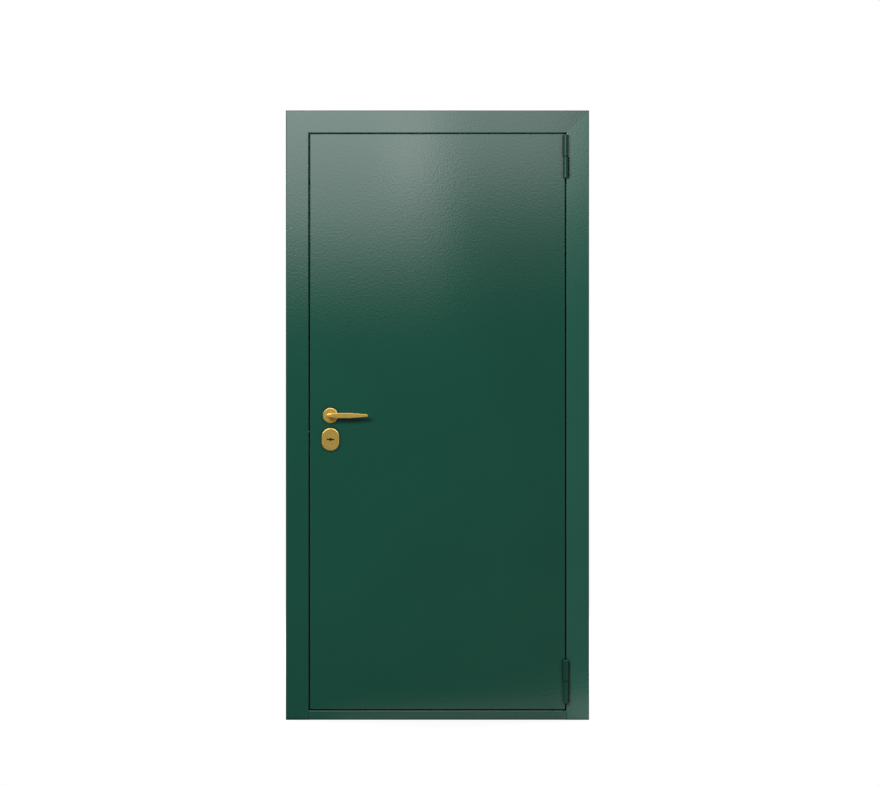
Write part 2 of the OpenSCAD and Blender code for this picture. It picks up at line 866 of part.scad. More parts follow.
// A yoke that carries the bolts and straddles the cassette and the escutcheon's bolts, with arms that
// still reach past the cassette's front when the bolts are thrown
module bolt_carriage() {
    half = carriage_half;
    arm_l = bolt_throw + carriage_guide;
    y0 = y_lock - carriage_d / 2;
    y1 = y_lock + carriage_d / 2;
    color(zinc) {
        box([carriage_x0, y0, key_z - half], [carriage_x0 + carriage_bar, y1, key_z + half]);
        for (s = [-1, 1]) translate([0, 0, key_z + s * (arm_gap + half) / 2])
            box([carriage_x0 + carriage_bar, y0, -(half - arm_gap) / 2],
                [carriage_x0 + carriage_bar + arm_l, y1, (half - arm_gap) / 2]);
    }
}

// The handle

// Places an outside fitting on the outer face, or the same fitting on the inner face, with its front
// towards -Y of its own frame
module on_face(inner) {
    translate([0, inner ? y_leaf_back : y_face, 0]) mirror([0, inner ? 1 : 0, 0]) children();
}

module rose_base() {
    color(steel) at_handle() difference() {
        rod_y(rose_d - 2 * base_room, -base_t, 0);
        rod_y(journal_d + 2 * run_fit, -base_t - past, past);
        rose_screw_places() translate([0, -base_t, 0]) countersunk_y(screw_d, base_t + past);
    }
}

module rose_screw_places() {
    inset = 8;
    for (a = [45 : 90 : 315]) rotate([0, a, 0]) translate([rose_d / 2 - inset, 0, 0]) children();
}

// A turned cap with a rounded rim, pressed over the base
module rose_cover() {
    rim = 2.5;
    r = rose_d / 2;
    hole = journal_d / 2 + slide_fit;
    color(gold) at_handle() rotate([90, 0, 0]) rotate_extrude() {
        difference() {
            union() {
                translate([hole, 0]) square([r - rim - hole, rose_t]);
                translate([hole, 0]) square([r - hole, rose_t - rim]);
                translate([r - rim, rose_t - rim]) circle(rim);
            }
            translate([0, -past]) square([r - base_room + run_fit, base_t + slide_fit + past]);
        }
    }
}

module outer_rose_base() { on_face(false) rose_base(); }
module inner_rose_base() { on_face(true) rose_base(); }
module outer_rose_cover() { on_face(false) rose_cover(); }
module inner_rose_cover() { on_face(true) rose_cover(); }

module rose_screws() {
    color(zinc) for (inner = [false, true]) on_face(inner) at_handle() rose_screw_places()
        translate([0, -base_t, 0]) countersunk_y(screw_d, base_t + skin_t + screw_grip);
}

// A smooth step from 0 to 1 as t goes from 0 to 1
function smooth(t) = let (c = min(1, max(0, t))) c * c * (3 - 2 * c);

// The blade swells over a fifth of its reach past the neck, tapers over its outer half, and is thinned
// by a third towards its tip
swell_start = 4;
swell_share = 0.2;
taper_share = 0.5;
tip_thin = 0.35;

// Half the lever's height along its length, before its ends are rounded
function lever_half(u) =
    let (butt = lever_neck_h / 2, full = lever_h / 2, tip = lever_h / 4,
         taper = lever_reach * taper_share)
        butt + (full - butt) * smooth((u - swell_start) / (lever_reach * swell_share))
            - (full - tip) * smooth((u - lever_reach + taper) / taper);

// How far the rounded ends draw the section in, down to a small flat
function lever_end(u) =
    let (a = max(0, butt_round - lever_butt - u) / butt_round,
         b = max(0, u - lever_reach + tip_round) / tip_round,
         flat = 0.02)
        sqrt(max(flat, 1 - pow(max(a, b), 2)));

// The lever's set-back towards the leaf near its tip
function lever_bow(u) = tip_set_back * pow(max(0, u / lever_reach), 2);

// Half the lever's thickness along its length, before its ends are rounded
function lever_deep(u) = lever_t / 2 * (1 - tip_thin * smooth(u / lever_reach));

// The front's edges are full at the round butt and tight along the flat blade; the back's are easy on
// the hand
front_edge = 1.2;
butt_edge = 5;
butt_edge_run = 26;
back_edge = 3.2;
function lever_edge(u) = butt_edge - (butt_edge - front_edge) * smooth((u + lever_butt) / butt_edge_run);

// A point of the lever's section at angle a of corner q: a rectangle with rounded corners, of half
// thickness d and half height h, its front towards -Y
function lever_rim(q, a, d, h, front_r) =
    let (r = q == 0 || q == 3 ? back_edge : front_r,
         centre = [(q == 0 || q == 3 ? 1 : -1) * (d - r), (q < 2 ? 1 : -1) * (h - r)])
        centre + r * [cos(90 * q + a), sin(90 * q + a)];

lever_stations = 30;
corner_points = 6;

// The blade: a loft of rounded sections along +X
module lever_blade() {
    m = 4 * corner_points;
    n = lever_stations;
    length = lever_butt + lever_reach;
    points = [
        for (i = [0 : n])
            let (u = -lever_butt + length * (1 - cos(180 * i / n)) / 2, e = lever_end(u))
                for (q = [0 : 3], k = [0 : corner_points - 1])
                    let (a = 90 * k / (corner_points - 1),
                         p = e * lever_rim(q, a, lever_deep(u), lever_half(u), lever_edge(u)))
                        [u, lever_bow(u) - lever_y + p.x, p.y],
    ];
    sides = [
        for (i = [0 : n - 1], k = [0 : m - 1])
            let (j = (k + 1) % m, p = i * m, q = p + m) [p + k, q + k, q + j, p + j],
    ];
    ends = [[for (k = [0 : m - 1]) k], [for (k = [m - 1 : -1 : 0]) n * m + k]];
    polyhedron(points, concat(sides, ends), convexity = 6);
}

grub_d = 5;
grub_l = 3.5;
grub_inset = 2;
grub_y = rose_t + collar + grub_inset;
socket_end = rose_t + collar + neck_taper / 2;

// The whole lever: a journal that turns in the rose, a neck and the blade
module lever() {
    socket = spindle_w + 2 * run_fit;
    color(gold) at_handle() difference() {
        union() {
            rod_y(journal_d, -rose_t - collar, -slide_fit);
            translate([0, -rose_t - collar, 0]) rotate([90, 0, 0])
                cylinder(d1 = journal_d, d2 = neck_d, h = neck_taper);
            rod_y(neck_d, -lever_y, -rose_t - collar - neck_taper);
            lever_blade();
        }
        box([-socket / 2, -socket_end, -socket / 2], [socket / 2, past, socket / 2]);
        translate([0, -grub_y, 0]) rotate([180, 0, 0]) cylinder(d = grub_d, h = journal_d);
    }
}

module outer_lever() { on_face(false) lever(); }
module inner_lever() { on_face(true) lever(); }

module spindle() {
    end = socket_end - slide_fit;
    color(steel) at_handle() box([-spindle_w / 2, y_face - end, -spindle_w / 2],
                                 [spindle_w / 2, y_leaf_back + end, spindle_w / 2]);
}

module grub_screws() {
    color(black) for (inner = [false, true]) on_face(inner) at_handle()
        translate([0, -grub_y, -spindle_w / 2 - grub_l]) cylinder(d = grub_d - 2 * run_fit, h = grub_l);
}

// The escutcheons

// A plate with round ends and a rounded rim, from y = -t to 0
module oval_plate(w, l, t, rim) {
    r = w / 2;
    module half_section() {
        square([r - rim, t]);
        square([r, t - rim]);
        translate([r - rim, t - rim]) intersection() {
            circle(rim);
            square(rim);
        }
    }
    straight = l - w;
    for (s = [-1, 1]) translate([0, 0, s * straight / 2]) rotate([90, 0, 0])
        rotate_extrude() half_section();
    translate([0, 0, -straight / 2]) linear_extrude(straight) rotate(180) {
        half_section();
        mirror([1, 0]) half_section();
    }
}

shutter_flange_lap = 2.5;
shutter_flange_d = shutter_d + 2 * shutter_flange_lap;
shutter_flange_t = 2;
shutter_recess = 0.4;
outer_rim = 3.5;
inner_rim = 2;

// The inside cover hangs from a rivet above the upper bolt's head
cover_t = 2;
cover_neck_d = 10;
rivet_d = 4;
rivet_head_d = 8;
rivet_head_t = 1.2;
cover_drop = esc_bolt_z + esc_bolt_d + rivet_head_d / 2;
cover_y = inner_esc_t + run_fit;

module outer_escutcheon() {
    color(gold) on_face(false) at_key() difference() {
        oval_plate(esc_w, esc_l, esc_t, outer_rim);
        rod_y(shutter_d + 2 * run_fit, -esc_t - past, past);
        rod_y(shutter_flange_d + 2 * slide_fit, -shutter_flange_t - slide_fit, past);
        escutcheon_bolt_places() rod_y(esc_bolt_d, -esc_t + bolt_floor, past);
    }
}

module keyhole_shutter() {
    color(gold) on_face(false) at_key() difference() {
        union() {
            rod_y(shutter_d, -esc_t + shutter_recess, -run_fit);
            rod_y(shutter_flange_d, -shutter_flange_t, -run_fit);
        }
        keyhole_cut(-esc_t - past, past, false);
    }
}

module inner_escutcheon() {
    color(gold) on_face(true) at_key() difference() {
        oval_plate(esc_w, esc_l, inner_esc_t, inner_rim);
        keyhole_cut(-inner_esc_t - past, past, true);
        escutcheon_bolt_places() translate([0, -inner_esc_t, 0])
            countersunk_y(esc_bolt_d, inner_esc_t + past);
        translate([0, 0, cover_drop]) rod_y(rivet_d, -inner_esc_t - past, past);
    }
}

// Countersunk bolts from the inside, through the lock, into the outside escutcheon
module escutcheon_bolts() {
    color(gold) on_face(true) at_key() escutcheon_bolt_places() translate([0, -inner_esc_t, 0])
        countersunk_y(esc_bolt_d, inner_esc_t + leaf_d + esc_t - bolt_floor - past);
}

// A drop-shaped plate: a round over the keyhole and a smaller one round the rivet, with tangents between
module keyhole_cover() {
    r = cover_d / 2;
    neck_r = cover_neck_d / 2;
    lean = asin((r - neck_r) / cover_drop);
    color(gold) on_face(true) at_key() translate([0, -cover_y, 0]) rotate([90, 0, 0])
        linear_extrude(cover_t) difference() {
            union() {
                circle(r);
                translate([0, cover_drop]) circle(neck_r);
                polygon([
                    [-r * cos(lean), r * sin(lean)],
                    [r * cos(lean), r * sin(lean)],
                    [neck_r * cos(lean), cover_drop + neck_r * sin(lean)],
                    [-neck_r * cos(lean), cover_drop + neck_r * sin(lean)],
                ]);
            }
            translate([0, cover_drop]) circle(d = rivet_d + 2 * run_fit);
        }
}

module cover_rivet() {
    head_y = cover_y + cover_t + run_fit;
    color(gold) on_face(true) at_key() translate([0, 0, cover_drop]) {
        rod_y(rivet_d, -head_y, 0);
        rod_y(rivet_head_d, -head_y - rivet_head_t, -head_y);
    }
}

hinge_jamb();
lock_jamb();
head_rail();
sill();
frame_seal();
anchor_caps();
strike_backing();
strike_plate();
strike_screws();
hinge_frame_knuckle_top();
hinge_frame_knuckle_bottom();
hinge_pin_top();
hinge_pin_bottom();
hinge_washer_top();
hinge_washer_bottom();
outer_skin();
inner_skin();
stiffener_ribs();
insulation();
anti_lift_pins();
hinge_leaf_knuckle_top();
hinge_leaf_knuckle_bottom();
lock_case();
lock_cover();
lock_faceplate();
faceplate_screws();
lock_tabs();
armour_plate();
lever_cassette();
outer_rose_base();
outer_rose_cover();
inner_rose_base();
inner_rose_cover();
rose_screws();
outer_escutcheon();
inner_escutcheon();
escutcheon_bolts();
outer_lever();
inner_lever();
spindle();
follower();
grub_screws();
latch_bolt();
latch_spring();
dead_bolts();
bolt_carriage();
keyhole_shutter();
keyhole_cover();
cover_rivet();
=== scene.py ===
"""A flush steel entrance door in its frame: finishes, screw recesses, latch spring, studio and camera."""
import json
import math

import bmesh
import bpy
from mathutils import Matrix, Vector


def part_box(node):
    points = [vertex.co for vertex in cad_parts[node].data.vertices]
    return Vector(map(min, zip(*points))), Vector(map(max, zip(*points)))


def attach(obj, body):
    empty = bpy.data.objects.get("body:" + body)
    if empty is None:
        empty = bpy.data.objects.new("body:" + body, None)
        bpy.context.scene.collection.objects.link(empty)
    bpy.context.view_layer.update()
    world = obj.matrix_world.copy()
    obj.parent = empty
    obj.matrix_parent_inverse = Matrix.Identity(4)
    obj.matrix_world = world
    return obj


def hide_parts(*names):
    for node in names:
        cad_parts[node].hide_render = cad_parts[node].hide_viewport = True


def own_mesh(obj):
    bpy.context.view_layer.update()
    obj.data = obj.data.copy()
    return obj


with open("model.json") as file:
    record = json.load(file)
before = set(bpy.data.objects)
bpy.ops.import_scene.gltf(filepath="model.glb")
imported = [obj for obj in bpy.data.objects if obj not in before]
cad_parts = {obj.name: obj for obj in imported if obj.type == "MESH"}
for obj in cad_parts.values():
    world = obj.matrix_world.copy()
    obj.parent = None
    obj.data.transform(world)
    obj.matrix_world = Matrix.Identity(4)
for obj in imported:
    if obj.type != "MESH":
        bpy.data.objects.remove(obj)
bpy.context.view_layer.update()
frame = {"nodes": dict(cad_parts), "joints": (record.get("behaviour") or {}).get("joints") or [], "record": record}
NODES = frame["nodes"]
JOINTS = {joint["name"]: joint for joint in frame["joints"]}
SLOT_OF = {part["node"]: part["material_slot"] for part in frame["record"]["subparts"]}
MM = 0.001

# Places in a vector, and in a box's pair of corners
X, Y, Z = 0, 1, 2
LOW, HIGH = 0, 1

# Base colours in sRGB. The greens and the gold are set so that the door comes out as in the photograph,
# and the others are those of usual products
GREEN = (15, 72, 57)
# The lighter green is painted light on the hinge jamb, and the darker green is painted shade on the hinges and the
# anti-lift pins
GREEN_PAINTED_LIGHT = (30, 86, 71)
GREEN_PAINTED_SHADE = (12, 63, 50)
GOLD = (238, 198, 97)
STEEL = (178, 180, 182)
ZINC = (186, 181, 160)
RUBBER = (22, 22, 23)
WOOL = (196, 172, 112)
BLACKENED = (38, 38, 40)
BURNISHED = (84, 85, 88)
OILED_BRASS = (110, 78, 34)


def linear(srgb):
    """An sRGB colour in 0 to 255 as linear RGBA."""
    def one(c):
        c /= 255
        return c / 12.92 if c <= 0.04045 else ((c + 0.055) / 1.055) ** 2.4
    return (*[one(c) for c in srgb], 1.0)


def scaled(colour, by):
    """A linear colour made lighter or darker."""
    return (*[min(1.0, c * by) for c in colour[:3]], 1.0)


# Shader nodes

def node(tree, kind, inputs=(), **settings):
    """A shader node with its settings and with the values or links of its inputs, by name or place."""
    made = tree.nodes.new(kind)
    for key, value in settings.items():
        setattr(made, key, value)
    for key, value in dict(inputs).items():
        if isinstance(value, bpy.types.NodeSocket):
            tree.links.new(value, made.inputs[key])
        else:
            made.inputs[key].default_value = value
    return made


def maths(tree, operation, *values):
    """The result of an operation on values or links."""
    return node(tree, "ShaderNodeMath", enumerate(values), operation=operation).outputs[0]


def between(tree, value, start, end, low=0.0, high=1.0):
    """A value from low at start to high at end, held beyond them."""
    step = node(tree, "ShaderNodeMapRange", {
        "Value": value, "From Min": start, "From Max": end, "To Min": low, "To Max": high,
    })
    return step.outputs["Result"]


def shader_mix(tree, share, first, second):
    """The first shader where the share is 0 and the second where it is 1."""
    return node(tree, "ShaderNodeMixShader", {0: share, 1: first, 2: second}).outputs[0]


# The range that most values of a noise texture lie in, and the part of it that a colour ramp spans
NOISE_RANGE = (0.25, 0.75)
RAMP_RANGE = (0.3, 0.7)
CORNER_SAMPLES = 6


class Shader:
    """A node material built step by step, with the surface's own place as its texture space."""

    def __init__(self, name):
        self.material = bpy.data.materials.new(name)
        self.material.use_nodes = True
        self.tree = self.material.node_tree
        self.bsdf = self.tree.nodes["Principled BSDF"]
        self.place = node(self.tree, "ShaderNodeTexCoord").outputs["Object"]

    def link(self, out, name):
        """Joins a node's output to an input of the surface."""
        self.tree.links.new(out, self.bsdf.inputs[name])

    def set(self, **values):
        """Sets inputs of the surface, with an underscore for each space in their names."""
        for name, value in values.items():
            self.bsdf.inputs[name.replace("_", " ")].default_value = value

    def stretched(self, scale):
        """The texture space stretched along its axes."""
        return node(self.tree, "ShaderNodeMapping", {"Vector": self.place, "Scale": scale}).outputs["Vector"]

    def noise(self, size, detail=3.0, rough=0.5, space=None):
        """Cloudy noise whose features are about size metres across."""
        inputs = {"Vector": space or self.place, "Scale": 1 / size, "Detail": detail, "Roughness": rough}
        return node(self.tree, "ShaderNodeTexNoise", inputs).outputs["Fac"]

    def cells(self, size):
        """Crystal-like cells about size metres across, each with its own grey."""
        inputs = {"Vector": self.place, "Scale": 1 / size}
        return node(self.tree, "ShaderNodeTexVoronoi", inputs).outputs["Color"]

    def rings(self, centre, size, detail=2.0):
        """Rings about size metres wide, of random grey, round an axis along Y through a centre."""
        flat = node(self.tree, "ShaderNodeMapping", {
            "Vector": self.place, "Location": (-centre.x, 0, -centre.z), "Scale": (1, 0, 1),
        }).outputs["Vector"]
        radius = node(self.tree, "ShaderNodeVectorMath", {0: flat}, operation="LENGTH").outputs["Value"]
        inputs = {"W": radius, "Scale": 1 / size, "Detail": detail}
        return node(self.tree, "ShaderNodeTexNoise", inputs, noise_dimensions="1D").outputs["Fac"]

    def shades(self, value, colour, darkest, lightest):
        """A base colour that goes from its darkest to its lightest share with a texture value."""
        ramp = node(self.tree, "ShaderNodeValToRGB", {"Fac": value})
        stops = zip(ramp.color_ramp.elements, RAMP_RANGE, (darkest, lightest))
        for element, position, share in stops:
            element.position = position
            element.color = scaled(colour, share)
        self.link(ramp.outputs["Color"], "Base Color")

    def corners(self, reach, depth, least):
        """Paints shade into the base colour within reach of other surfaces, where contact shadow falls round
        fittings and hinges and in corners and gaps, down to a least share of it."""
        colour = self.bsdf.inputs["Base Color"].links[0].from_socket
        close = node(self.tree, "ShaderNodeAmbientOcclusion", {"Distance": reach}, samples=CORNER_SAMPLES)
        share = maths(self.tree, "MAXIMUM", maths(self.tree, "POWER", close.outputs["AO"], depth), least)
        dark = node(self.tree, "ShaderNodeMix", {"Factor": 1.0, "A": colour, "B": share},
                    data_type="RGBA", blend_type="MULTIPLY")
        self.link(dark.outputs["Result"], "Base Color")

    def roughness(self, value, low, high):
        """A roughness that goes from low to high with a texture value."""
        self.link(between(self.tree, value, *NOISE_RANGE, low, high), "Roughness")

    def bumps(self, *layers):
        """Layers of relief, each a texture value and the height that it spans in metres."""
        below = {}
        for value, height in layers:
            inputs = {"Height": value, "Distance": height, "Strength": 1.0, **below}
            below = {"Normal": node(self.tree, "ShaderNodeBump", inputs).outputs["Normal"]}
        self.link(below["Normal"], "Normal")


# Materials

def paint(name, srgb, rough=0.15, gloss=0.75):
    """Smooth satin paint with an orange-peel skin over sheet steel, with shade painted into its corners."""
    shader = Shader(name)
    cloud = shader.noise(size=350 * MM, detail=2)
    peel = shader.noise(size=7 * MM, detail=1, rough=0.4)
    grain = shader.noise(size=1.6 * MM, detail=2)
    shader.set(IOR=1.5, Specular_IOR_Level=gloss)
    shader.shades(cloud, linear(srgb), darkest=0.96, lightest=1.04)
    # Painted shade: the base colour darkens near other surfaces, round fittings and hinges and in corners and gaps
    shader.corners(reach=12 * MM, depth=1.6, least=0.6)
    shader.roughness(grain, low=rough - 0.02, high=rough + 0.02)
    shader.bumps((peel, 0.2 * MM), (grain, 0.004 * MM))
    return shader.material


BRUSHED_ALONG_X = (0.12, 1.0, 1.6)


def gold(name, centre=None, rough=0.3, coat=1.0):
    """Lacquered brass: turned in rings round a centre, or brushed along its length."""
    shader = Shader(name)
    tarnish = shader.noise(size=8 * MM)
    if centre:
        lines = shader.rings(centre, size=0.9 * MM)
    else:
        lines = shader.noise(size=1.0 * MM, detail=2, rough=0.6, space=shader.stretched(BRUSHED_ALONG_X))
    shader.set(Metallic=0.75, Coat_Weight=coat, Coat_Roughness=0.06)
    shader.shades(tarnish, linear(GOLD), darkest=0.88, lightest=1.06)
    shader.roughness(lines, low=rough - 0.05, high=rough + 0.05)
    shader.bumps((lines, 0.006 * MM))
    return shader.material


ROLLED_ALONG_Z = (1.0, 1.0, 0.06)


def metal(name, srgb, rough, crystal=None):
    """Plain metal with rolled lines, mottled or with the crystals of a plating."""
    shader = Shader(name)
    lines = shader.noise(size=0.7 * MM, rough=0.6, space=shader.stretched(ROLLED_ALONG_Z))
    mottle = shader.cells(crystal) if crystal else shader.noise(size=18 * MM)
    shader.set(Metallic=1.0)
    shader.shades(mottle, linear(srgb), darkest=0.85, lightest=1.1)
    shader.roughness(lines, low=rough - 0.06, high=rough + 0.08)
    shader.bumps((lines, 0.008 * MM))
    return shader.material


def rubber(name):
    """Black rubber with a dull bloom."""
    shader = Shader(name)
    bloom = shader.noise(size=12 * MM, detail=4)
    skin = shader.noise(size=0.8 * MM, detail=2)
    shader.set(Specular_IOR_Level=0.35)
    shader.shades(bloom, linear(RUBBER), darkest=1.0, lightest=1.9)
    shader.roughness(bloom, low=0.6, high=0.8)
    shader.bumps((skin, 0.02 * MM))
    return shader.material


def cap_plastic(name):
    """Moulded plastic a little darker than the paint, with a fine spark-eroded grain."""
    shader = Shader(name)
    colour = scaled(linear(GREEN), 0.9)
    mottle = shader.noise(size=6 * MM)
    grain = shader.noise(size=0.6 * MM, detail=2)
    shader.set(Specular_IOR_Level=0.4)
    shader.shades(mottle, colour, darkest=0.92, lightest=1.08)
    shader.roughness(grain, low=0.5, high=0.62)
    shader.bumps((grain, 0.02 * MM))
    return shader.material


FIBRES_ALONG_X = (0.3, 1.0, 1.5)


def wool(name):
    """Pressed mineral fibres."""
    shader = Shader(name)
    fibres = shader.noise(size=2 * MM, detail=5, rough=0.7, space=shader.stretched(FIBRES_ALONG_X))
    shader.set(Specular_IOR_Level=0.1)
    shader.shades(fibres, linear(WOOL), darkest=0.6, lightest=1.15)
    shader.roughness(fibres, low=0.85, high=1.0)
    shader.bumps((fibres, 0.8 * MM))
    return shader.material


SLOTS = {
    "green_paint": paint("green_paint", GREEN),
    "gold_metal": gold("gold_metal"),
    "bare_steel": metal("bare_steel", STEEL, rough=0.34),
    "zinc_plate": metal("zinc_plate", ZINC, rough=0.3, crystal=5 * MM),
    "seal_rubber": rubber("seal_rubber"),
    "cap_plastic": cap_plastic("cap_plastic"),
    "mineral_wool": wool("mineral_wool"),
    "black_steel": metal("black_steel", BLACKENED, rough=0.42),
}
HANDLE_AXIS = Vector(JOINTS["handle_turn"]["pos_m"])
KEY_AXIS = Vector(JOINTS["shutter_turn"]["pos_m"])
# Finishes of single nodes: turned fittings have rings round their own axes, the levers are brushed, the
# hinge jamb's lighter paint is painted light for the brighter light on the hinge side, and the hinges' darker,
# duller paint is painted shade, as in the photograph. The bolts are dark burnished steel and the pins' darker,
# duller paint is painted shade, so that both stay dark where they are seen through the gaps round the leaf
OWN_FINISH = {
    "outer_rose_cover": gold("gold_rose", HANDLE_AXIS),
    "inner_rose_cover": gold("gold_rose_inside", HANDLE_AXIS),
    "outer_escutcheon": gold("gold_escutcheon", KEY_AXIS),
    "inner_escutcheon": gold("gold_escutcheon_inside", KEY_AXIS),
    "keyhole_shutter": gold("gold_shutter", KEY_AXIS),
    "keyhole_cover": gold("gold_cover", KEY_AXIS),
    "outer_lever": gold("gold_lever", rough=0.32, coat=0.2),
    "inner_lever": gold("gold_lever_inside", rough=0.32, coat=0.2),
    "lever_cassette": metal("oiled_brass", OILED_BRASS, rough=0.45),
    "armour_plate": metal("hardened_steel", BLACKENED, rough=0.45),
    "dead_bolts": metal("burnished_steel", BURNISHED, rough=0.45),
    # Painted shade on the pins and the hinge knuckles as a darker copy of the green, and painted light on the
    # hinge jamb as a lighter one
    "anti_lift_pins": paint("green_paint_pins_painted_shade", GREEN_PAINTED_SHADE, rough=0.4, gloss=0.1),
    "hinge_jamb": paint("green_paint_painted_light", GREEN_PAINTED_LIGHT),
    **{f"hinge_{half}_knuckle_{end}": paint(f"green_paint_{half}_{end}", GREEN_PAINTED_SHADE, gloss=0.4)
       for half in ("frame", "leaf") for end in ("top", "bottom")},
}


def dress(obj, material):
    """Gives an object one material."""
    obj.data.materials.clear()
    obj.data.materials.append(material)


def finish_of(name):
    """The material of a node: its own, or that of its slot in the record."""
    return OWN_FINISH.get(name, SLOTS[SLOT_OF[name]])


for node_name, node_object in NODES.items():
    dress(node_object, finish_of(node_name))


# Pieces that stand for a solid: screws with their cross recesses, and the latch spring

def stand_in(name, mesh, solid, body):
    """A new piece that rides on a body and stands for one of the solids, with its finish."""
    piece = bpy.data.objects.new(name, mesh)
    bpy.context.scene.collection.objects.link(piece)
    dress(piece, finish_of(solid))
    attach(piece, body)
    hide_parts(solid)
    return piece


# Screw heads in one node are farther apart than this, and a head is flat within this
HEADS_APART = 10 * MM
HEAD_FLAT = 0.01 * MM
# Width of the cross in a countersunk screw and in an escutcheon bolt, and the width of its slots and its
# depth as shares of that
SCREW_CROSS = 4.6 * MM
BOLT_CROSS = 5.2 * MM
CROSS_SLOT = 0.24
CROSS_DEPTH = 0.3


def head_centres(mesh, axis, level):
    """The middles of the flat screw heads at one level along an axis, one above the other."""
    rim = [v.co.copy() for v in mesh.vertices if abs(v.co[axis] - level) < HEAD_FLAT]
    rim.sort(key=lambda co: co.z)
    heads = [[rim[0]]]
    for co in rim[1:]:
        if co.z - heads[-1][-1].z > HEADS_APART:
            heads.append([])
        heads[-1].append(co)
    return [Vector([(min(c) + max(c)) / 2 for c in zip(*head)]) for head in heads]


def crosses(centres, axis, width, slot, depth):
    """A mesh of upright crosses to cut out of the heads, each of two straight arms."""
    shape = bmesh.new()
    across = Y if axis == X else X
    for centre in centres:
        for long_axis in (across, Z):
            arm = bmesh.ops.create_cube(shape, size=1.0)["verts"]
            size = [slot, slot, slot]
            size[long_axis] = width
            size[axis] = 2 * depth
            bmesh.ops.scale(shape, vec=size, verts=arm)
            bmesh.ops.translate(shape, vec=centre, verts=arm)
    mesh = bpy.data.meshes.new("crosses")
    shape.to_mesh(mesh)
    shape.free()
    return mesh


def cut(mesh, tool_mesh):
    """A mesh with the shape of another cut out of it."""
    body = bpy.data.objects.new("to_cut", mesh)
    tool = bpy.data.objects.new("tool", tool_mesh)
    for obj in (body, tool):
        bpy.context.scene.collection.objects.link(obj)
    step = body.modifiers.new("cut", "BOOLEAN")
    step.object = tool
    step.operation = "DIFFERENCE"
    step.solver = "EXACT"
    step.use_self = True
    shown = body.evaluated_get(bpy.context.evaluated_depsgraph_get())
    result = bpy.data.meshes.new_from_object(shown)
    for obj in (body, tool):
        bpy.data.objects.remove(obj)
    return result


def recess_screws(solid, body, axis, side, width):
    """Screws whose heads lie at a node's low or high side along an axis, with cross recesses."""
    mesh = NODES[solid].data
    centres = head_centres(mesh, axis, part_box(solid)[side][axis])
    tool = crosses(centres, axis, width, CROSS_SLOT * width, CROSS_DEPTH * width)
    stand_in(solid + "_crossed", cut(mesh.copy(), tool), solid, body)


def squeeze_spring():
    """The latch spring, as a copy of its solid's mesh on a piece of its own that rides on the leaf."""
    spring = stand_in("latch_spring_coil", NODES["latch_spring"].data.copy(), "latch_spring", "leaf")
    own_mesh(spring)


recess_screws("strike_screws", "frame", X, HIGH, SCREW_CROSS)
recess_screws("faceplate_screws", "leaf", X, LOW, SCREW_CROSS)
recess_screws("escutcheon_bolts", "leaf", Y, HIGH, BOLT_CROSS)
squeeze_spring()


# The studio. Ramps are given as the places where they start and end

WHITE = (1, 1, 1, 1)
PALE = (0.8, 0.8, 0.79, 1)
AMBIENT = 0.1
# What reflections show: dark flags on the camera's side, pale surroundings beside and behind the door,
# and a bright sky over it
FLAG = 0.1
SURROUND = 0.35
SKY = 2.8

# The floor's edges from the door, in metres, and the share of its colour that takes light and shadow
FLOOR_FRONT = 1.3
FLOOR_BACK = 6.0
FLOOR_SIDE = 5.0
FLOOR_SHARE = 0.35
# Its own glow where it is looked at, less near the door so that the shadow shows there
GLOW_RAMP = (0.8, 2.4)
GLOW_NEAR = 0.82
GLOW_FAR = 1.0
# A pool of light painted on the floor at the door's foot, as a glow that only reflections show: it starts at
# the lock side, has a brighter corner under the hinges, ends beyond it and behind the door, and its front edge
# lies at a slant
POOL_LEFT = (-0.5, -0.3)
POOL_LEVEL = 0.42
POOL_CORNER = (0.42, 0.5)
POOL_CORNER_LEVEL = 0.4
POOL_RIGHT = (0.6, 0.8)
POOL_SLANT = 0.8
POOL_FRONT = (-0.95, -0.25)
POOL_BACK = (0.1, 0.4)


